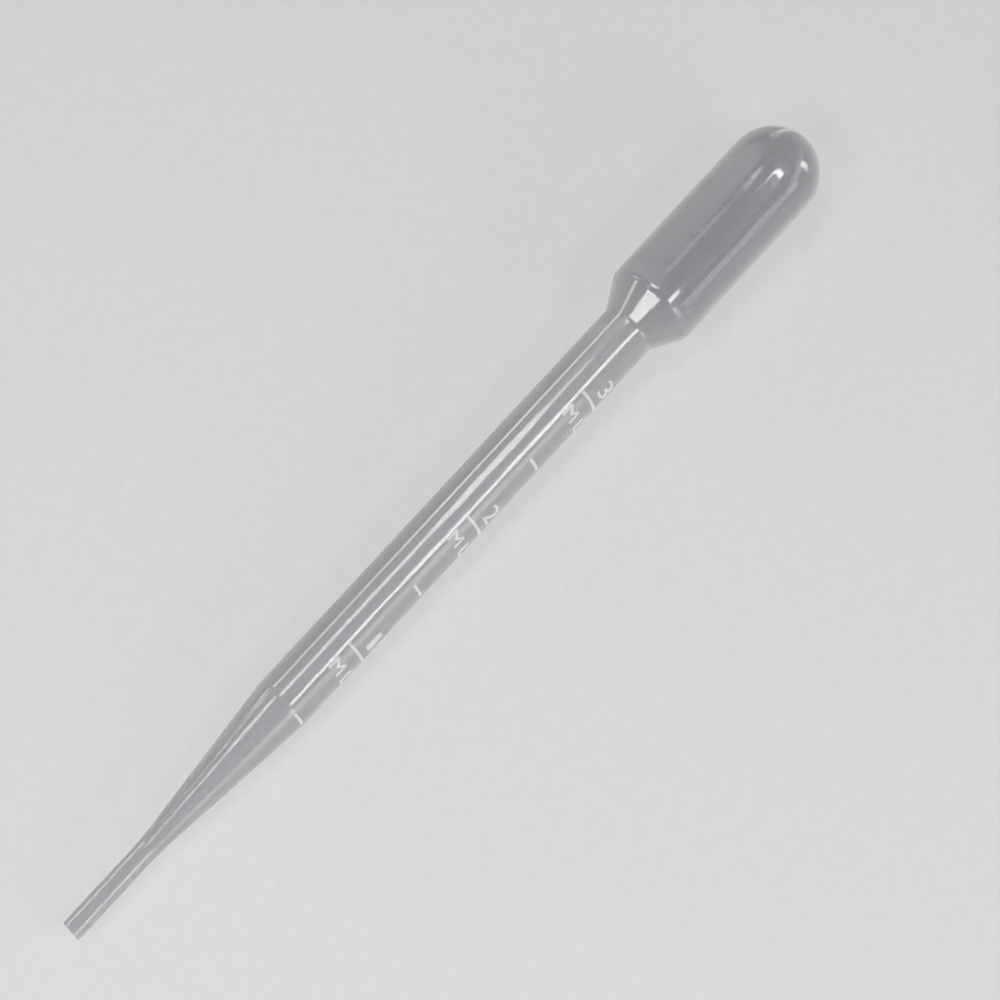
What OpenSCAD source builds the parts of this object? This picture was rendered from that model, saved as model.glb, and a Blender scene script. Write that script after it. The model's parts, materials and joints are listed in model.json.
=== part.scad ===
// Plastic dropper pipette, 3 mL, lying on a table with its bulb towards +X.
// It is one blow-moulded piece: a cut tip tube, a long taper, a graduated stem and a squeeze bulb.
// Millimetres. The profiles are (height, radius) pairs along the pipette's own axis, from the tip.

/* [Overall] */
// Length from the cut tip to the end of the bulb
overall_len = 155; // [150:1:162]
// Turn of the graduations about the axis, from straight up towards the viewer, in degrees
marks_turn = 64; // [0:2:120]

/* [Tip] */
// Outside diameter of the tip tube
tip_d = 3.2; // [2.8:0.1:4.4]
// Length of the straight tip tube
tip_len = 16; // [10:1:20]
// Slant of the knife cut across the tip, in degrees from square
tip_cut_slant = 8; // [0:1:14]
// Radius of the hollow curve where the tip tube runs into the taper
tip_blend_r = 44; // [20:2:60]

/* [Stem] */
// Outside diameter of the stem
stem_d = 8.36; // [7.6:0.04:9.2]
// Height at which the taper reaches the stem
taper_end = 42.4; // [38:0.2:44]
// Radius of the rounded edge between the taper and the stem
taper_edge_r = 11; // [4:1:20]
// Height at which the stem opens into the shoulder
neck_at = 115.8; // [112:0.2:118]
// Radius of the hollow curve at the neck
neck_r = 1.7; // [0.8:0.1:2.5]

/* [Bulb] */
// Outside diameter of the bulb
bulb_d = 13.8; // [12.5:0.1:15]
// Height of the sloping shoulder between the stem and the bulb
shoulder_len = 4.8; // [4:0.2:6]
// Radius of the rounded edge between the shoulder and the bulb
shoulder_edge_r = 2.8; // [1:0.2:3.4]
// Height of the domed end, without its weld
dome_len = 7.1; // [6.4:0.1:9]

/* [Wall] */
// Wall of the tip tube
tip_wall = 0.53; // [0.4:0.01:0.65]
// Wall of the stem, which gives one millilitre for each long mark
stem_wall = 0.57; // [0.45:0.01:0.8]
// Wall of the bulb, thinner because the plastic is blown out further there
bulb_wall = 0.42; // [0.35:0.01:0.6]
// Wall at the end of the dome
dome_wall = 0.5; // [0.4:0.05:0.8]

/* [Mould marks] */
// Turn of the mould's parting plane from square to the graduated side, in degrees
parting_turn = 5; // [-15:1:15]
// Width of the fine ridge that the mould's two halves leave along both sides
ridge_w = 0.3; // [0.2:0.05:0.5]
// How far the ridge stands out of the surface
ridge_h = 0.06; // [0.04:0.01:0.1]
// Width of the weld that closes the bulb's end
weld_w = 1.1; // [0.6:0.1:1.2]
// How far the weld stands out at the bulb's end
weld_h = 0.2; // [0.1:0.05:0.3]
// Thickness of the weld's bead inside the bulb
bead_h = 0.5; // [0.2:0.1:0.8]

/* [Graduations] */
// Height of the 1 mL mark above the tip
first_ml_at = 54.4; // [53.8:0.2:56]
// Distance between two whole millilitres
ml_pitch = 24.5; // [23:0.1:25]
// How many whole millilitres are marked
ml_count = 3; // [1:1:3]
// Width of a mark along the stem
mark_w = 0.45; // [0.3:0.05:0.7]
// How far a mark stands out of the stem
mark_h = 0.14; // [0.08:0.02:0.2]
// Angle that a whole millilitre's mark covers round the stem
long_mark_angle = 66; // [40:2:80]
// Angle that a half millilitre's mark covers round the stem
short_mark_angle = 34; // [20:2:50]

/* [Hidden] */
$fn = 96;
arc_steps = 8;
dome_steps = 14;
sink = 0.2;          // how deep a ridge or a mark is rooted in the wall

tip_r = tip_d / 2;
stem_r = stem_d / 2;
bulb_r = bulb_d / 2;
shoulder_end = neck_at + shoulder_len;
body_len = overall_len - weld_h;
dome_from = body_len - dome_len;
ridge_from = tip_len + 4;
ridge_to = dome_from + 0.7 * dome_len;
weld_from = dome_from + 0.3 * dome_len;
weld_side_h = 0.3 * weld_h;    // how far the weld stands out where it runs out
bead_side_h = 0.1 * bead_h;    // how thick its bead is there
taper_angle = atan2(stem_r - tip_r, taper_end - tip_len);
shoulder_angle = atan2(bulb_r - stem_r, shoulder_len);

// How the pipette lies: it touches the table on the edge of the taper and on the edge of the
// shoulder, so its axis follows the line that is tangent to both rounded edges.
edge_gap = [
    shoulder_end + shoulder_edge_r * tan(shoulder_angle / 2)
        - taper_end - taper_edge_r * tan(taper_angle / 2),
    (bulb_r - shoulder_edge_r) - (stem_r - taper_edge_r)
];
rest_tilt = acos((taper_edge_r - shoulder_edge_r) / norm(edge_gap))
    - atan2(edge_gap.x, edge_gap.y);
axis_height = taper_edge_r + (stem_r - taper_edge_r) * cos(rest_tilt)
    - (taper_end + taper_edge_r * tan(taper_angle / 2)) * sin(rest_tilt);

// Points of an arc of radius r that rounds the corner b of the line a, b, c.
function rounded(a, b, c, r) =
    let (
        to_a = (a - b) / norm(a - b),
        to_c = (c - b) / norm(c - b),
        half = acos(to_a * to_c) / 2,
        centre = b + (to_a + to_c) / norm(to_a + to_c) * r / sin(half),
        start = b + to_a * r / tan(half) - centre,
        end = b + to_c * r / tan(half) - centre,
        turn = atan2(cross(start, end), start * end)
    )
    [for (i = [0:arc_steps])
        let (w = turn * i / arc_steps)
        centre + [start.x * cos(w) - start.y * sin(w), start.x * sin(w) + start.y * cos(w)]];

// Quarter of an ellipse from the rim of the dome up to the axis.
function dome(from, height, radius) =
    [for (i = [0:dome_steps])
        let (w = 90 * i / dome_steps)
        [from + height * sin(w), i == dome_steps ? 0 : radius * cos(w)]];

// The line of a surface from the tip to the end of the bulb, each stretch inset by its own
// amount. No inset gives the outside, and a negative one a skin just over it.
function surface_line(tip_in, stem_in, bulb_in, dome_in) =
    let (
        neck_shift = tan(shoulder_angle / 2),
        edge_shift = tan(taper_angle / 2),
        p = [
            [0, tip_r - tip_in],
            [tip_len + tip_in * edge_shift, tip_r - tip_in],
            [taper_end + stem_in * edge_shift, stem_r - stem_in],
            [neck_at + stem_in * neck_shift, stem_r - stem_in],
            [shoulder_end + bulb_in * neck_shift, bulb_r - bulb_in],
            [dome_from, bulb_r - bulb_in]
        ]
    )
    concat(
        [p[0]],
        rounded(p[0], p[1], p[2], tip_blend_r + tip_in),
        rounded(p[1], p[2], p[3], taper_edge_r - stem_in),
        rounded(p[2], p[3], p[4], neck_r + stem_in),
        rounded(p[3], p[4], p[5], shoulder_edge_r - bulb_in),
        dome(dome_from, dome_len - dome_in, bulb_r - bulb_in)
    );

function outside() = surface_line(0, 0, 0, 0);
function inside() = surface_line(tip_wall, stem_wall, bulb_wall, dome_wall);
function reversed(line) = [for (i = [len(line) - 1:-1:0]) line[i]];

// Turns the area between two (height, radius) lines about the upright axis.
module turned_between(outer, inner) {
    rotate_extrude()
        polygon([for (p = concat(outer, reversed(inner))) [p.y, p.x]]);
}

// The plane in which the two halves of the mould meet, as a slab across the axis.
module parting_slab(width, from, to) {
    translate([-width / 2, -bulb_d, from])
        cube([width, 2 * bulb_d, to - from]);
}

// The knife cut that slants across the tip, and leaves it longest on the graduated side.
module tip_cut() {
    translate([tip_r, 0, 0])
        rotate([0, -tip_cut_slant, 0])
            translate([-3 * tip_d, -tip_d, -tip_d])
                cube([4 * tip_d, 2 * tip_d, tip_d]);
}

// Fine ridges on both sides, where the mould closes, from the taper to the dome.
module parting_ridges() {
    intersection() {
        parting_slab(ridge_w, ridge_from, ridge_to);
        turned_between(
            surface_line(-ridge_h, -ridge_h, -ridge_h, -ridge_h),
            surface_line(sink, sink, sink, sink)
        );
    }
}

// The mould pinches the hot tube shut at the bulb's end. The weld is proud at the end of the dome
// and runs out down both sides, with a bead inside.
module pinch_weld() {
    intersection() {
        parting_slab(weld_w, weld_from, overall_len + 1);
        turned_between(
            dome(dome_from, dome_len + weld_h, bulb_r + weld_side_h),
            dome(dome_from, dome_len - dome_wall - bead_h, bulb_r - bulb_wall - bead_side_h)
        );
    }
}

// One raised mark: a short piece of a flat ring, centred on the graduated side.
module mark(at, angle) {
    translate([0, 0, at - mark_w / 2])
        rotate([0, 0, -angle / 2])
            rotate_extrude(angle = angle)
                translate([stem_r - sink, 0])
                    square([sink + mark_h, mark_w]);
}

module graduations() {
    for (ml = [1:ml_count]) {
        at = first_ml_at + (ml - 1) * ml_pitch;
        mark(at, long_mark_angle);
        mark(at - ml_pitch / 2, short_mark_angle);
    }
}

// The pipette upright on its tip, as it leaves the mould, with its graduations towards +X.
module moulded() {
    difference() {
        turned_between(outside(), inside());
        tip_cut();
    }
    rotate([0, 0, parting_turn]) {
        parting_ridges();
        pinch_weld();
    }
    graduations();
}

module pipette() {
    color([0.86, 0.87, 0.88, 0.6])
        translate([-overall_len / 2 * cos(rest_tilt), 0, axis_height])
            rotate([0, 90 - rest_tilt, 0])
                rotate([0, 0, 180 + marks_turn])
                    moulded();
}

pipette();
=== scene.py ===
# %% [markdown]
# # A plastic dropper pipette
#
# The real thing is one piece of undyed polyethylene, blown in a two-part mould. It is one thin,
# milky wall all the way: a cut tip tube, a long taper, a stem with raised marks, and a squeeze
# bulb whose end is pinched shut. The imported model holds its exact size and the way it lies. Here
# the same wall is modelled as a smooth mesh, its figures are added, and the plastic gets its look.

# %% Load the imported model
import json
from math import acos, atan2, ceil, cos, degrees, pi, radians, sin, tan

import bpy
from mathutils import Matrix, Vector

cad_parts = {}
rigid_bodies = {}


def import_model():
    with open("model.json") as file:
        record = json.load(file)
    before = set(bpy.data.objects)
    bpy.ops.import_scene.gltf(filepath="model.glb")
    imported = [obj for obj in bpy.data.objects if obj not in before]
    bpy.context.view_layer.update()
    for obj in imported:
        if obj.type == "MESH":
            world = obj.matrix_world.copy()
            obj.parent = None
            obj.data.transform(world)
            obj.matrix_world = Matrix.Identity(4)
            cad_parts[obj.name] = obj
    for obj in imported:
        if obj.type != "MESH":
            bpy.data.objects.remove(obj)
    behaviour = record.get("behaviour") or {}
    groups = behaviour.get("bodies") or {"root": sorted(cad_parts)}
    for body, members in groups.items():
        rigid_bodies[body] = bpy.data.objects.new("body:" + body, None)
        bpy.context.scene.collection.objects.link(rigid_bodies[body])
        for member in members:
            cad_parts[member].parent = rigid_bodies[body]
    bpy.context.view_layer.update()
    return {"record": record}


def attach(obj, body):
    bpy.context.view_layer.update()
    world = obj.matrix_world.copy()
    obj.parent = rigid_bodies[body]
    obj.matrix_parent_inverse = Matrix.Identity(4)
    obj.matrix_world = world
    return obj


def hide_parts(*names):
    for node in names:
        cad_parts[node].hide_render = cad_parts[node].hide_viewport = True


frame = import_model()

MM = 0.001

# %% [markdown]
# ## How the pipette lies
#
# The pipette lies on the edges of its taper and its bulb, with the bulb end of its axis a little
# higher. Modelling is easiest upright, with the tip at the world's origin, the axis along Z and
# the graduated side towards +X, as it leaves the mould. The finished mesh is laid down in one
# move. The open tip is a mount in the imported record, whose place and axis give that move.

# %% Read the axis from the open tip's mount
BORE_MOUNT_AT = 7 * MM       # the mount's height above the tip
MARKS_TURN = radians(64)     # the graduated side, turned from straight up towards the viewer
bore = next(m for m in frame["record"]["mounts"] if m["name"] == "tip_bore")
axis = -Vector(bore["axis"]).normalized()
rest_tilt = atan2(axis.z, axis.x)
tip_at = Vector(bore["pos_m"]) - axis * BORE_MOUNT_AT
lay_down = (Matrix.Translation(tip_at)
            @ Matrix.Rotation(radians(90) - rest_tilt, 4, "Y")
            @ Matrix.Rotation(radians(180) + MARKS_TURN, 4, "Z"))
print("the axis rises by", round(degrees(rest_tilt), 2), "degrees")

# %% [markdown]
# ## The wall's outline
#
# Blown plastic has no sharp corners. A bevel could round the corners of a finished mesh, but arcs
# in the outline itself keep the wall's thickness true all round each corner. Each arc is worked out
# from the two straight stretches that meet there. The inner line follows the outer one at the
# thickness of the wall: 0.57 mm in the stem and less in the bulb, where it is stretched further.

# %% Sizes in millimetres, with heights from the tip
LENGTH = 155.0
TIP_R, STEM_R, BULB_R = 1.6, 4.18, 6.9
TIP_LEN, TAPER_END, NECK_AT, SHOULDER_END = 16.0, 42.4, 115.8, 120.6
TIP_BLEND_R, TAPER_EDGE_R, NECK_R, SHOULDER_EDGE_R = 44.0, 11.0, 1.7, 2.8
TIP_WALL, STEM_WALL, BULB_WALL, DOME_WALL = 0.53, 0.57, 0.42, 0.5
WELD_H, DOME_LEN = 0.2, 7.1
DOME_FROM = LENGTH - WELD_H - DOME_LEN
taper_angle = atan2(STEM_R - TIP_R, TAPER_END - TIP_LEN)
shoulder_angle = atan2(BULB_R - STEM_R, SHOULDER_END - NECK_AT)
print("slopes in degrees: taper", round(degrees(taper_angle), 1),
      "and shoulder", round(degrees(shoulder_angle), 1))


# %% Round a corner, and draw a surface's line
def rounded(a, b, c, radius, steps=8):
    """Points of the arc that rounds the corner b between a and c."""
    a, b, c = Vector(a), Vector(b), Vector(c)
    to_a, to_c = (a - b).normalized(), (c - b).normalized()
    half = acos(to_a.dot(to_c)) / 2
    centre = b + (to_a + to_c).normalized() * radius / sin(half)
    start = b + to_a * radius / tan(half) - centre
    end = b + to_c * radius / tan(half) - centre
    turn = atan2(start.x * end.y - start.y * end.x, start.dot(end))
    return [tuple(Matrix.Rotation(turn * i / steps, 2) @ start + centre)
            for i in range(steps + 1)]


def surface_line(tip_in, stem_in, bulb_in, dome_in, steps=20):
    """The line from the tip to the end of the dome, each stretch inset by its own amount."""
    neck_shift, edge_shift = tan(shoulder_angle / 2), tan(taper_angle / 2)
    corners = [
        (0, TIP_R - tip_in),
        (TIP_LEN + tip_in * edge_shift, TIP_R - tip_in),
        (TAPER_END + stem_in * edge_shift, STEM_R - stem_in),
        (NECK_AT + stem_in * neck_shift, STEM_R - stem_in),
        (SHOULDER_END + bulb_in * neck_shift, BULB_R - bulb_in),
        (DOME_FROM, BULB_R - bulb_in),
    ]
    radii = (TIP_BLEND_R + tip_in, TAPER_EDGE_R - stem_in,
             NECK_R + stem_in, SHOULDER_EDGE_R - bulb_in)
    line = corners[:1]
    for k, radius in enumerate(radii):
        line += rounded(*corners[k:k + 3], radius)
    for i in range(steps):
        w = radians(90) * i / steps
        line.append((DOME_FROM + (DOME_LEN - dome_in) * sin(w), (BULB_R - bulb_in) * cos(w)))
    return line + [(DOME_FROM + DOME_LEN - dome_in, 0)]


outside = surface_line(0, 0, 0, 0)
inside = surface_line(TIP_WALL, STEM_WALL, BULB_WALL, DOME_WALL)
print("outline:", len(outside), "points outside and", len(inside), "inside")

# %% [markdown]
# ## Selecting by hand, in code
#
# Operators act on what is selected, so each step starts by choosing one object, or just the
# vertices or edges that it needs. Both helpers do what a maker does with the mouse.


# %% Helpers that select
def only(obj):
    """Makes obj the one selected and active object."""
    bpy.ops.object.select_all(action="DESELECT")
    obj.select_set(True)
    bpy.context.view_layer.objects.active = obj
    return obj


def pick(obj, wanted, kind="VERT"):
    """In edit mode, selects just the vertices, edges or faces for which wanted(item) is true."""
    bpy.ops.mesh.select_mode(type=kind)
    bpy.ops.mesh.select_all(action="DESELECT")
    bpy.ops.object.mode_set(mode="OBJECT")
    items = {"VERT": obj.data.vertices, "EDGE": obj.data.edges, "FACE": obj.data.polygons}[kind]
    for item in items:
        item.select = wanted(item)
    bpy.ops.object.mode_set(mode="EDIT")


# %% [markdown]
# ## The blown wall
#
# A turned form could be spun from its outline, or drawn ring by ring. Drawing it ring by ring
# keeps control of where the faces are: a circle is extruded along the axis and scaled to each
# point of the line in turn. Straight stretches get extra rings, so that smooth shading has short
# faces to work on. The outside and the inside are drawn in the same way, in one mesh. The faces
# of the inside look inwards, at the hollow, so that the plastic lies between the two surfaces.

# %% Helper that draws a surface ring by ring
ROUND = 144        # faces round the pipette
RING_STEP = 2.5    # no ring is further than this from the next


def draw_surface(line, inward):
    """In edit mode, adds a circle at the start of the line and extrudes it along the line."""
    here, radius = line[0]
    bpy.ops.mesh.select_all(action="DESELECT")
    bpy.ops.mesh.primitive_circle_add(
        vertices=ROUND, radius=radius * MM, location=(0, 0, here * MM))
    for (z0, r0), (z1, r1) in zip(line, line[1:]):
        count = ceil((z1 - z0) / RING_STEP)
        for i in range(1, count + 1):
            z = z0 + (z1 - z0) * i / count
            r = r0 + (r1 - r0) * i / count
            bpy.ops.mesh.extrude_region_move(
                TRANSFORM_OT_translate={"value": (0, 0, (z - here) * MM)})
            if r == 0:
                bpy.ops.mesh.merge(type="CENTER")
                bpy.ops.mesh.select_linked()
                bpy.ops.mesh.normals_make_consistent(inside=inward)
                return
            bpy.ops.transform.resize(value=(r / radius, r / radius, 1),
                                     center_override=(0, 0, z * MM))
            here, radius = z, r


# %% Draw both surfaces in one mesh, which starts empty
bpy.ops.object.select_all(action="DESELECT")
bpy.ops.mesh.primitive_circle_add(vertices=3, radius=MM)
wall = bpy.context.object
wall.name = "pipette_wall"
bpy.ops.object.mode_set(mode="EDIT")
bpy.ops.mesh.select_all(action="SELECT")
bpy.ops.mesh.delete(type="VERT")
draw_surface(outside, inward=False)
draw_surface(inside, inward=True)
bpy.ops.object.mode_set(mode="OBJECT")
print("two surfaces:", len(wall.data.vertices), "vertices")

# %% [markdown]
# ## The cut tip
#
# The blown tube is cut off at the tip with a knife, a little out of square. A boolean with a
# slanted block would need a closed wall to cut, and the tip is still open here. A bisect by the
# slanted plane cuts both surfaces at once, and bridging the two loops it leaves makes the face of
# the cut, with the true thickness of the wall.

# %% Cut the tip
TIP_CUT_SLANT = radians(8)
TINY = 0.00001 * MM      # closer than this counts as on the plane
cut_at = (TIP_R * MM, 0, 0)
cut_normal = Vector((sin(TIP_CUT_SLANT), 0, cos(TIP_CUT_SLANT)))
bpy.ops.object.mode_set(mode="EDIT")
bpy.ops.mesh.select_all(action="SELECT")
bpy.ops.mesh.bisect(plane_co=cut_at, plane_no=cut_normal, clear_inner=True, threshold=TINY)
pick(wall, lambda v: abs((v.co - Vector(cut_at)).dot(cut_normal)) < TINY)
bpy.ops.mesh.select_mode(type="EDGE")
bpy.ops.mesh.bridge_edge_loops()
bpy.ops.mesh.select_all(action="SELECT")
bpy.ops.mesh.normals_make_consistent(inside=False)
bpy.ops.object.mode_set(mode="OBJECT")
print("one closed wall:", len(wall.data.polygons), "faces")

# %% [markdown]
# ## The parting ridges
#
# Where the two halves of the mould meet, a fine ridge runs up each side. A thin slab could be fused
# on, but one column of vertices on each side already lies in that plane, so it is enough to push
# those columns out a little. Along the stem the ridge is painted white, a painted highlight for the
# thin lamp line that runs along it there; on the taper and on the bulb it keeps the wall's plastic.

# %% Push out the two columns
PARTING_TURN = radians(5)      # from square to the graduated side; a whole number of columns
RIDGE_H = 0.06
RIDGE_FROM, RIDGE_TO = TIP_LEN + 4, DOME_FROM + 0.7 * DOME_LEN
RIDGE_HIGHLIGHT_FROM, RIDGE_HIGHLIGHT_TO = TAPER_END + 1, SHOULDER_END - 0.5      # where the ridge is painted white, as a painted highlight
NEAR_PLANE, NEAR_OUTSIDE = 0.001 * MM, 0.1 * MM               # how close a vertex has to lie
parting_normal = Vector((cos(PARTING_TURN), sin(PARTING_TURN), 0))


def outer_radius(z):
    """The outside radius of the pipette at a height, both in metres."""
    for (z0, r0), (z1, r1) in zip(outside, outside[1:]):
        if z / MM <= z1:
            return (r0 + (r1 - r0) * (z / MM - z0) / (z1 - z0)) * MM
    return 0


def on_ridge(v, start=RIDGE_FROM, end=RIDGE_TO):
    """True for a vertex of the two columns, between two heights in millimetres."""
    return (abs(v.co.dot(parting_normal)) < NEAR_PLANE and start < v.co.z / MM < end
            and v.co.xy.length > outer_radius(v.co.z) - NEAR_OUTSIDE)


bpy.ops.object.mode_set(mode="EDIT")
pick(wall, on_ridge)
bpy.ops.transform.shrink_fatten(value=RIDGE_H * MM)
bpy.ops.object.mode_set(mode="OBJECT")
print("ridge vertices:", sum(v.select for v in wall.data.vertices))

# %% [markdown]
# ## The pinch weld
#
# The mould pinches the hot tube shut over the end of the dome. That leaves a low rounded bead
# across it, in the same plane as the ridges, which shows inside the dome too. It could be swept
# along a curve, but a torus already has the section and the bend. It is scaled to the dome's curve
# and widened, so that more of it breaks the surface. At the foot of the dome it has sunk into the
# wall, so the bead gets thinner down both sides, and it is cut off there.

# %% Make the bead
BEAD_R = 0.4             # half the bead's thickness, from inside the dome to outside
BEAD_WIDENED = 1.6       # how much wider it is than thick
WELD_SIDE_H = -0.01      # how far it would stand out at the foot of the dome
WELD_FROM = DOME_FROM + 0.3 * DOME_LEN
bead_reach = BULB_R + WELD_SIDE_H
bead_stretch = (DOME_LEN + WELD_H) / bead_reach
bpy.ops.object.select_all(action="DESELECT")
bpy.ops.mesh.primitive_torus_add(
    major_radius=(bead_reach - BEAD_R) * MM, minor_radius=BEAD_R * MM, major_segments=120,
    minor_segments=16, rotation=(0, radians(90), 0), location=(0, 0, 0))
raised = bpy.context.object
raised.name = "raised_marks"
bpy.ops.object.transform_apply(location=False, rotation=True, scale=False)
bpy.ops.object.mode_set(mode="EDIT")
bpy.ops.mesh.select_all(action="SELECT")
bpy.ops.transform.resize(value=(BEAD_WIDENED, 1, bead_stretch), center_override=(0, 0, 0))
bpy.ops.transform.translate(value=(0, 0, DOME_FROM * MM))
bpy.ops.mesh.bisect(plane_co=(0, 0, WELD_FROM * MM), plane_no=(0, 0, 1), clear_inner=True,
                    use_fill=True, threshold=TINY)
bpy.ops.object.mode_set(mode="OBJECT")
raised.rotation_euler.z = PARTING_TURN
bpy.ops.object.transform_apply(location=False, rotation=True, scale=False)
print("weld bead:", len(raised.data.polygons), "faces")

# %% [markdown]
# ## The raised graduations
#
# The marks are cut into the mould, so they stand out of the stem. A mould maker cuts them straight
# down from the front, which squeezes them together at the sides of the round stem. The same is
# done here: each bar and figure is a flat prism, and the part of it that lies in a thin ring round
# the stem is kept.

# %% Sizes of the marks, across and up the flat front view
FIRST_ML_AT, ML_PITCH, ML_COUNT = 54.4, 24.5, 3
BAR_W = 0.45
LONG_BAR_ANGLE, SHORT_BAR_ANGLE = radians(66), radians(34)
FIGURE_UP, FIGURE_ACROSS, FIGURE_H = 1.4, 0.45, 2.95      # from a long bar's middle
FIGURE_W = (0.9, 1.95, 1.95)                              # the 1 is a narrow stroke
UNIT_UP, UNIT_H = -4.45, 2.15
M_ACROSS, M_W = -1.33, 1.9
L_ACROSS, L_W = 1.55, 1.3
MARK_H = 0.14                      # how far a mark stands out of the stem
MARK_ROOT = 0.25                   # how deep it is rooted in the wall
PRISM_FROM, PRISM_TO = 2.6, 5.0    # a prism's back and front, from the axis
ml_heights = [FIRST_ML_AT + k * ML_PITCH for k in range(ML_COUNT)]
print("millilitre marks above the tip, in mm:", ml_heights)


# %% Helper that makes a level bar
def bar(at, angle):
    """A level bar whose ends reach half the angle round the stem on each side."""
    bpy.ops.object.select_all(action="DESELECT")
    bpy.ops.mesh.primitive_cube_add(
        size=1, location=((PRISM_FROM + PRISM_TO) / 2 * MM, 0, at * MM))
    piece = bpy.context.object
    piece.dimensions = [
        (PRISM_TO - PRISM_FROM) * MM, 2 * STEM_R * sin(angle / 2) * MM, BAR_W * MM]
    bpy.ops.object.transform_apply(location=True, rotation=False, scale=True)
    return piece


# %% Helper that makes a figure
CURVE_STEPS = 4               # between two points of a character's outline
SAME_POINT = 0.001 * MM       # outline points closer than this are one
NEARLY_FLAT = radians(1)      # faces that meet at less than this become one
STAND_UP = Matrix(((0, 0, 1, 0), (1, 0, 0, 0), (0, 1, 0, 0), (0, 0, 0, 1)))      # to face +X


def figure(character, across, bottom, width, height):
    """A character that faces +X, with its middle at across and its foot at bottom."""
    bpy.ops.object.select_all(action="DESELECT")
    bpy.ops.object.text_add(location=(0, 0, 0))
    piece = bpy.context.object
    piece.data.body = character
    piece.data.size = height * MM
    piece.data.resolution_u = CURVE_STEPS
    bpy.ops.object.convert(target="MESH")
    bpy.ops.object.mode_set(mode="EDIT")
    bpy.ops.mesh.select_all(action="SELECT")
    bpy.ops.mesh.remove_doubles(threshold=SAME_POINT)
    bpy.ops.mesh.dissolve_limited(angle_limit=NEARLY_FLAT)
    bpy.ops.mesh.extrude_region_move(
        TRANSFORM_OT_translate={"value": (0, 0, (PRISM_TO - PRISM_FROM) * MM)})
    bpy.ops.mesh.select_all(action="SELECT")
    bpy.ops.mesh.normals_make_consistent(inside=False)
    bpy.ops.object.mode_set(mode="OBJECT")
    low, high = Vector(piece.bound_box[0]), Vector(piece.bound_box[6])
    size = high - low
    to_front = (Matrix.Translation((PRISM_FROM * MM, across * MM, bottom * MM))
                @ STAND_UP
                @ Matrix.Diagonal((width * MM / size.x, height * MM / size.y, 1, 1))
                @ Matrix.Translation((-(low.x + high.x) / 2, -low.y, -low.z)))
    piece.matrix_world = to_front
    bpy.ops.object.transform_apply(location=True, rotation=True, scale=True)
    return piece


# %% Lay out the three millilitres
marks = []
for k, at in enumerate(ml_heights):
    marks.append(bar(at - ML_PITCH / 2, SHORT_BAR_ANGLE))
    marks.append(bar(at, LONG_BAR_ANGLE))
    marks.append(figure(str(k + 1), FIGURE_ACROSS, at + FIGURE_UP, FIGURE_W[k], FIGURE_H))
    marks.append(figure("M", M_ACROSS, at + UNIT_UP, M_W, UNIT_H))
    marks.append(figure("L", L_ACROSS, at + UNIT_UP, L_W, UNIT_H))
bpy.ops.object.select_all(action="DESELECT")
for piece in marks:
    piece.select_set(True)
bpy.context.view_layer.objects.active = marks[0]
bpy.ops.object.join()
graduations = bpy.context.object
graduations.name = "graduations"
print("graduations:", len(graduations.data.polygons), "faces before they are curved")


# %% Helper that fuses, cuts or keeps what two pieces share
def boolean(obj, other, operation):
    """Applies a boolean of obj with other, and deletes other."""
    mod = obj.modifiers.new(operation.lower(), "BOOLEAN")
    mod.operation = operation
    mod.solver = "EXACT"
    mod.object = other
    only(obj)
    bpy.ops.object.modifier_apply(modifier=mod.name)
    bpy.data.objects.remove(other)


# %% Curve the marks by keeping what lies in a ring round the stem
SPARE_LEN = 20      # how much longer the ring is than the marks reach, both ends together
ring_len = (ML_COUNT * ML_PITCH + SPARE_LEN) * MM
ring_mid = (ml_heights[0] - ML_PITCH / 2 + ml_heights[-1]) / 2 * MM
bpy.ops.object.select_all(action="DESELECT")
bpy.ops.mesh.primitive_cylinder_add(vertices=ROUND, radius=(STEM_R + MARK_H) * MM,
                                    depth=ring_len, location=(0, 0, ring_mid))
ring = bpy.context.object
bpy.ops.object.transform_apply(location=True, rotation=False, scale=False)
bpy.ops.object.select_all(action="DESELECT")
bpy.ops.mesh.primitive_cylinder_add(vertices=ROUND, radius=(STEM_R - MARK_ROOT) * MM,
                                    depth=2 * ring_len, location=(0, 0, ring_mid))
core = bpy.context.object
bpy.ops.object.transform_apply(location=True, rotation=False, scale=False)
boolean(ring, core, "DIFFERENCE")
boolean(graduations, ring, "INTERSECT")
print("graduations:", len(graduations.data.polygons), "faces, curved round the stem")

# %% [markdown]
# ## Fusing and laying down
#
# The marks and the weld are part of the same wall, so one boolean union makes a single closed mesh
# of it all. The faces get their plastic just before, while it is still known which belongs to
# what. The finished mesh is then laid down in its place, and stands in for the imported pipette.

# %% Join the marks with the weld
bpy.ops.object.select_all(action="DESELECT")
graduations.select_set(True)
raised.select_set(True)
bpy.context.view_layer.objects.active = raised
bpy.ops.object.join()
print("all that is raised:", len(raised.data.polygons), "faces")

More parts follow.
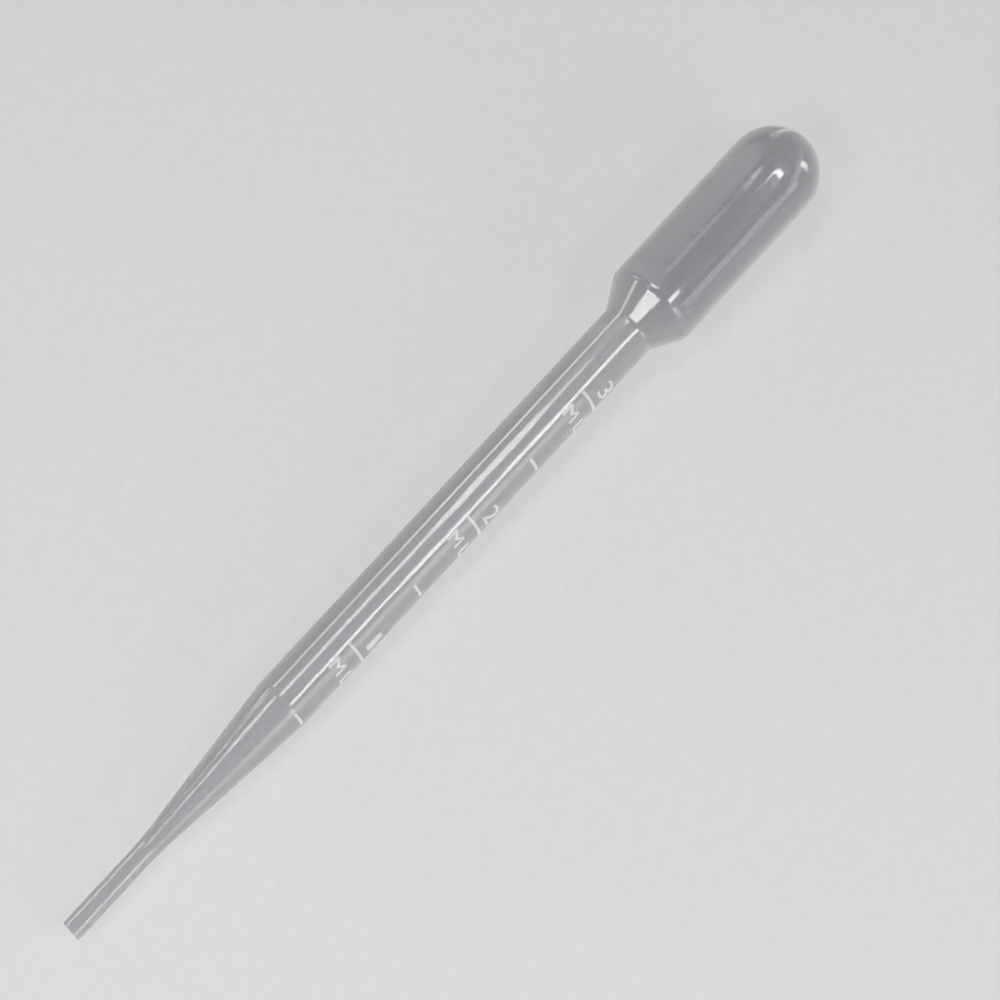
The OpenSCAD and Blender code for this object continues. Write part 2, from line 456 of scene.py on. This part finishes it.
# %% Choose each face's plastic, and fuse
clear_plastic = bpy.data.materials.new("clear_milky_plastic")
raised_and_ridge_highlight_plastic = bpy.data.materials.new("raised_and_ridge_highlight_plastic")
cut_plastic = bpy.data.materials.new("cut_plastic")
for piece in (wall, raised):
    piece.data.materials.clear()
    for material in (clear_plastic, raised_and_ridge_highlight_plastic, cut_plastic):
        piece.data.materials.append(material)
CLEAR, RAISED_OR_RIDGE_HIGHLIGHT, CUT = range(3)      # the places of the three plastics in that row
for face in raised.data.polygons:
    face.material_index = RAISED_OR_RIDGE_HIGHLIGHT
for face in wall.data.polygons:
    corners = [wall.data.vertices[v] for v in face.vertices]
    on_cut = all(abs((v.co - Vector(cut_at)).dot(cut_normal)) < TINY for v in corners)
    # Along the stem the ridge gets the whiter raised plastic, as a painted highlight
    painted_ridge_highlight = any(on_ridge(v, RIDGE_HIGHLIGHT_FROM, RIDGE_HIGHLIGHT_TO) for v in corners)
    face.material_index = CUT if on_cut else RAISED_OR_RIDGE_HIGHLIGHT if painted_ridge_highlight else CLEAR
boolean(wall, raised, "UNION")
for index, material in enumerate(wall.data.materials):
    print(material.name, sum(f.material_index == index for f in wall.data.polygons), "faces")

# %% Lay the wall down and hand it over
SHARP_FROM = radians(35)      # an edge that turns more than this stays sharp
wall.matrix_world = lay_down
only(wall)
bpy.ops.object.transform_apply(location=True, rotation=True, scale=True)
bpy.ops.object.shade_smooth_by_angle(angle=SHARP_FROM)
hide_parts("pipette")
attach(wall, "root")
print("finished wall:", len(wall.data.polygons), "faces")

# %% [markdown]
# ## Draw lines and cloudiness
#
# Blown polyethylene is never quite even. The hot tube is drawn out while it is blown, which leaves
# faint wavy lines along the axis, and the wall is cloudy in small patches. Both are noise: one
# stretched along the pipette, one the same in all directions. Every material of the pipette shows
# them, so they are one node group, and each material sets how strong they are.

# %% Helpers that add nodes and make a group
def add_node(tree, kind, values=None, **settings):
    """Adds a node. Each of its values is a number or colour to set, or a socket to link."""
    made = tree.nodes.new(kind)
    for key, value in settings.items():
        setattr(made, key, value)
    for socket, value in (values or {}).items():
        if isinstance(value, bpy.types.NodeSocket):
            tree.links.new(value, made.inputs[socket])
        else:
            made.inputs[socket].default_value = value
    return made


def new_group(name, inputs, outputs):
    """A shader node group with these named sockets, and its input and output nodes."""
    group = bpy.data.node_groups.new(name, "ShaderNodeTree")
    for side, sockets in (("INPUT", inputs), ("OUTPUT", outputs)):
        for socket, kind in sockets.items():
            group.interface.new_socket(name=socket, in_out=side, socket_type="NodeSocket" + kind)
    return group, add_node(group, "NodeGroupInput"), add_node(group, "NodeGroupOutput")


# %% Build the group for uneven blown plastic
LINE_SIZE = (30 * MM, 1.3 * MM, 1.3 * MM)    # a draw line's length, and its width across
CLOUD_SIZE = 0.7 * MM

uneven, given, result = new_group(
    "uneven_plastic",
    {"Color": "Color", "Cloudiness": "Float", "Roughness": "Float", "Spread": "Float"},
    {"Color": "Color", "Roughness": "Float", "Height": "Float"})
place = add_node(uneven, "ShaderNodeTexCoord").outputs["Object"]
stretched = add_node(uneven, "ShaderNodeMapping", {
    "Vector": place, "Rotation": (0, -rest_tilt, 0), "Scale": LINE_SIZE}, vector_type="TEXTURE")
lines = add_node(uneven, "ShaderNodeTexNoise", {
    "Vector": stretched.outputs["Vector"], "Scale": 1, "Detail": 2})
clouds = add_node(uneven, "ShaderNodeTexNoise", {
    "Vector": place, "Scale": 1 / CLOUD_SIZE, "Detail": 3, "Roughness": 0.6})
shade = add_node(uneven, "ShaderNodeMath", {
    0: clouds.outputs["Fac"], 1: given.outputs["Cloudiness"]}, operation="MULTIPLY")
kept = add_node(uneven, "ShaderNodeMath", {0: 1, 1: shade.outputs[0]}, operation="SUBTRACT")
colour = add_node(uneven, "ShaderNodeVectorMath", {
    0: given.outputs["Color"], "Scale": kept.outputs[0]}, operation="SCALE")
rough = add_node(uneven, "ShaderNodeMath", {
    0: lines.outputs["Fac"], 1: given.outputs["Spread"], 2: given.outputs["Roughness"]},
    operation="MULTIPLY_ADD")
uneven.links.new(colour.outputs[0], result.inputs["Color"])
uneven.links.new(rough.outputs[0], result.inputs["Roughness"])
uneven.links.new(lines.outputs["Fac"], result.inputs["Height"])
print("group:", uneven.name, "with", len(uneven.nodes), "nodes")

# %% [markdown]
# ## The milky plastic
#
# Undyed polyethylene lets most light through, but fine crystals in it scatter the rest, so a thin
# wall looks smoky and a thick or slanting one looks white. The share that passes a wall falls off
# exponentially with the way through it, and that way grows as the wall turns edge-on. A volume
# inside the wall would do the same, but it renders slowly and with more noise. So each material
# mixes a clear shader with a milky one that scatters, by that share. The blown-out bulb is thinner
# than the stem, and clearer. What stands out of the wall is thicker and whiter. The ridge along the
# stem gets the same whiter plastic as a painted highlight. The cut face, left rough by the knife,
# is the whitest. Rays from lamps take a plain way through, because a real pipette throws only a
# light shadow.

# %% Helper for the share of light that passes the wall
BULB_START, BULB_FULL = 36 * MM, 46 * MM      # from stem to bulb, along X
EDGE_ON = 0.06                                # no wall is seen more edge-on than this


def share_that_passes(tree, haze, growth):
    """Haze and its growth towards edge-on are each given at the stem and at the bulb."""
    place = add_node(tree, "ShaderNodeTexCoord")
    along = add_node(tree, "ShaderNodeSeparateXYZ", {"Vector": place.outputs["Object"]})
    depth, power = (
        add_node(tree, "ShaderNodeMapRange", {
            "Value": along.outputs["X"], "From Min": BULB_START, "From Max": BULB_FULL,
            "To Min": sign * pair[0], "To Max": sign * pair[1]}).outputs["Result"]
        for sign, pair in ((-1, haze), (1, growth)))
    view = add_node(tree, "ShaderNodeLayerWeight", {"Blend": 0.5})
    head_on = add_node(tree, "ShaderNodeMath", {0: 1, 1: view.outputs["Facing"]},
                       operation="SUBTRACT")
    head_on = add_node(tree, "ShaderNodeMath", {0: head_on.outputs[0], 1: EDGE_ON},
                       operation="MAXIMUM")
    thinness = add_node(tree, "ShaderNodeMath", {0: head_on.outputs[0], 1: power},
                        operation="POWER")
    way = add_node(tree, "ShaderNodeMath", {0: depth, 1: thinness.outputs[0]},
                   operation="DIVIDE")
    passes = add_node(tree, "ShaderNodeMath", {0: way.outputs[0]}, operation="EXPONENT")
    return passes.outputs[0]


# %% Helper that fills in a plastic
IOR = 1.51
ROUGHNESS, ROUGHNESS_SPREAD = 0.04, 0.03
LINE_DEPTH = 0.05 * MM                        # of the draw lines
SCATTER_LEN = 0.6 * MM                        # how far light spreads in the milky part
SHADOW_COLOUR = (0.86, 0.86, 0.86, 1)


def fill_plastic(material, haze, growth, milk, tint, cloudiness):
    """Milk is the colour of the part that scatters, and tint that of the clear part."""
    material.use_nodes = True
    tree = material.node_tree
    tree.nodes.clear()
    passes = share_that_passes(tree, haze, growth)
    surface = add_node(tree, "ShaderNodeGroup", {
        "Color": milk, "Cloudiness": cloudiness, "Roughness": ROUGHNESS,
        "Spread": ROUGHNESS_SPREAD}, node_tree=uneven)
    bump = add_node(tree, "ShaderNodeBump", {
        "Height": surface.outputs["Height"], "Distance": LINE_DEPTH, "Strength": 1})
    gloss = {"IOR": IOR, "Roughness": surface.outputs["Roughness"],
             "Normal": bump.outputs["Normal"]}
    milky = add_node(tree, "ShaderNodeBsdfPrincipled", {
        "Base Color": surface.outputs["Color"], "Subsurface Weight": 1,
        "Subsurface Radius": (1, 1, 1), "Subsurface Scale": SCATTER_LEN, **gloss})
    clear = add_node(tree, "ShaderNodeBsdfPrincipled", {
        "Base Color": tint, "Transmission Weight": 1, **gloss})
    plastic = add_node(tree, "ShaderNodeMixShader", {
        0: passes, 1: milky.outputs[0], 2: clear.outputs[0]})
    light = add_node(tree, "ShaderNodeLightPath")
    see_through = add_node(tree, "ShaderNodeBsdfTransparent", {"Color": SHADOW_COLOUR})
    lit = add_node(tree, "ShaderNodeMixShader", {
        0: light.outputs["Is Shadow Ray"], 1: plastic.outputs[0], 2: see_through.outputs[0]})
    add_node(tree, "ShaderNodeOutputMaterial", {"Surface": lit.outputs[0]})


# %% Fill in the three plastics
fill_plastic(clear_plastic, haze=(0.42, 0.13), growth=(0.8, 1.6), cloudiness=0.16,
             milk=(0.57, 0.573, 0.58, 1), tint=(0.54, 0.547, 0.561, 1))
# The same plastic paints the ridge white along the stem, as a painted highlight
fill_plastic(raised_and_ridge_highlight_plastic, haze=(0.8, 0.6), growth=(1.0, 1.0), cloudiness=0.1,
             milk=(0.82, 0.823, 0.829, 1), tint=(0.64, 0.646, 0.659, 1))
fill_plastic(cut_plastic, haze=(1.1, 0.5), growth=(1.0, 1.0), cloudiness=0.1,
             milk=(0.90, 0.903, 0.909, 1), tint=(0.80, 0.808, 0.824, 1))
print("plastics:", [(m.name, len(m.node_tree.nodes)) for m in wall.data.materials])

# %% [markdown]
# ## The floor
#
# A plain pale bench top. A plane in one flat colour would look drawn, so noise gives it the faint
# mottling of a matt laminate.

# %% Lay the floor
FLOOR_SIZE = 3.0                   # metres
MOTTLE_SIZE = 2 * MM
DARK_MOTTLE, LIGHT_MOTTLE = (0.59, 0.593, 0.598, 1), (0.64, 0.643, 0.649, 1)
MATT = 0.6                         # the laminate's roughness
bpy.ops.object.select_all(action="DESELECT")
bpy.ops.mesh.primitive_plane_add(size=FLOOR_SIZE, location=(0, 0, 0))
floor = bpy.context.object
floor.name = "floor"
bench = bpy.data.materials.new("pale_floor")
bench.use_nodes = True
tree = bench.node_tree
place = add_node(tree, "ShaderNodeTexCoord")
mottle = add_node(tree, "ShaderNodeTexNoise", {
    "Vector": place.outputs["Object"], "Scale": 1 / MOTTLE_SIZE, "Detail": 4})
shades = add_node(tree, "ShaderNodeValToRGB", {"Fac": mottle.outputs["Fac"]})
shades.color_ramp.elements[0].color = DARK_MOTTLE
shades.color_ramp.elements[1].color = LIGHT_MOTTLE
matt = tree.nodes["Principled BSDF"]
matt.inputs["Roughness"].default_value = MATT
tree.links.new(shades.outputs["Color"], matt.inputs["Base Color"])
floor.data.materials.append(bench)
print("floor:", FLOOR_SIZE, "m square")

# %% [markdown]
# ## The camera
#
# The camera looks down steeply from the tip's side, so that the pipette crosses the picture from
# corner to corner and the figures are seen on the lower side of the stem.

# %% Place the camera
AZIMUTH, ELEVATION, DISTANCE = radians(-48.615), radians(69.95), 487.1 * MM
SENSOR_MM, LENS_MM = 36, 124.272
look_at = Vector((7.45, -2.77, 4.0)) * MM
back = Vector((sin(AZIMUTH) * cos(ELEVATION), -cos(AZIMUTH) * cos(ELEVATION), sin(ELEVATION)))
bpy.ops.object.camera_add(location=look_at + back * DISTANCE,
                          rotation=(-back).to_track_quat("-Z", "Y").to_euler())
camera = bpy.context.object
camera.data.sensor_width = SENSOR_MM
camera.data.lens = LENS_MM
camera.data.clip_start = 10 * MM
bpy.context.scene.camera = camera
bpy.context.scene.view_settings.view_transform = "Standard"
print("the camera stands", round(DISTANCE / MM), "mm away, with a", LENS_MM, "mm lens")

# %% [markdown]
# ## The light
#
# Glossy round plastic shows each lamp as a thin bright line. A line that stands at some angle
# round the stem, seen from the viewer, comes from a lamp at twice that angle. So each lamp hangs
# parallel to the pipette, turned about its axis, and its start and end along the axis set where
# the line starts and ends. A plain world gives the soft light in between.

# %% Light the studio evenly
SOFT_COLOUR, SOFT_STRENGTH = (0.97, 0.985, 1.0, 1), 0.18
world = bpy.data.worlds.new("studio")
world.use_nodes = True
soft = world.node_tree.nodes["Background"]
soft.inputs["Color"].default_value = SOFT_COLOUR
soft.inputs["Strength"].default_value = SOFT_STRENGTH
bpy.context.scene.world = world
print("soft light:", SOFT_STRENGTH)

# %% Helper that hangs a lamp
LAMP_DISTANCE = 0.7
facing = (back - axis * back.dot(axis)).normalized()
aside = axis.cross(facing)


def strip_lamp(name, turn, start, end, width, radiance):
    """A lamp parallel to the pipette, turned from the viewer's side by an angle in degrees.

    Its start and end along the axis, from the pipette's middle, and its width are in metres.
    """
    out = facing * cos(radians(turn)) + aside * sin(radians(turn))
    bpy.ops.object.light_add(type="AREA")
    lamp = bpy.context.object
    lamp.name = name
    lamp.data.shape = "RECTANGLE"
    lamp.data.size, lamp.data.size_y = end - start, width
    lamp.data.energy = radiance * pi * lamp.data.size * lamp.data.size_y
    turned = Matrix((axis, out.cross(axis), out)).transposed().to_4x4()
    middle = out * LAMP_DISTANCE + axis * (start + end) / 2
    lamp.matrix_world = Matrix.Translation(middle) @ turned
    return lamp


# %% Hang the lamps, each with its name, turn, start, end, width and radiance
lamps = [
    # along the stem
    strip_lamp("key_line", 27.5, 0.03, 0.257, 0.16, 9.5),
    strip_lamp("left_line", -25.6, 0.02, 0.145, 0.165, 6),
    strip_lamp("left_band", -24.5, 0.145, 0.2, 0.28, 7),
    strip_lamp("left_line_end", -25.6, 0.2, 0.225, 0.165, 4.2),
    strip_lamp("right_line", 61, -0.16, 0.215, 0.33, 2.2),
    # on the bulb and its dome
    strip_lamp("bulb_left_line", -26, 0.25, 0.296, 0.12, 1.4),
    strip_lamp("bulb_right_line", 64, 0.25, 0.345, 0.22, 1.5),
    strip_lamp("bulb_left_side", -75, 0.24, 0.36, 1.2, 0.8),
    strip_lamp("dome_left_spot", -26.8, 0.31, 0.313, 0.18, 10),
    strip_lamp("dome_spot", 11, 0.326, 0.336, 0.32, 24),
    strip_lamp("dome_right_spot", 58, 0.75, 1.1, 0.4, 7),
    # on the tip, the taper and the shoulder
    strip_lamp("tip_left_line", -74, -0.05, 0.01, 0.25, 5.5),
    strip_lamp("tip_right_line", 50, -0.05, 0.01, 0.2, 5),
    strip_lamp("taper_line", -35, -0.16, -0.05, 0.12, 6.5),
    strip_lamp("shoulder_spot", -11.5, -0.72, -0.38, 0.55, 8.5),
]
print("lamps:", [lamp.name for lamp in lamps])
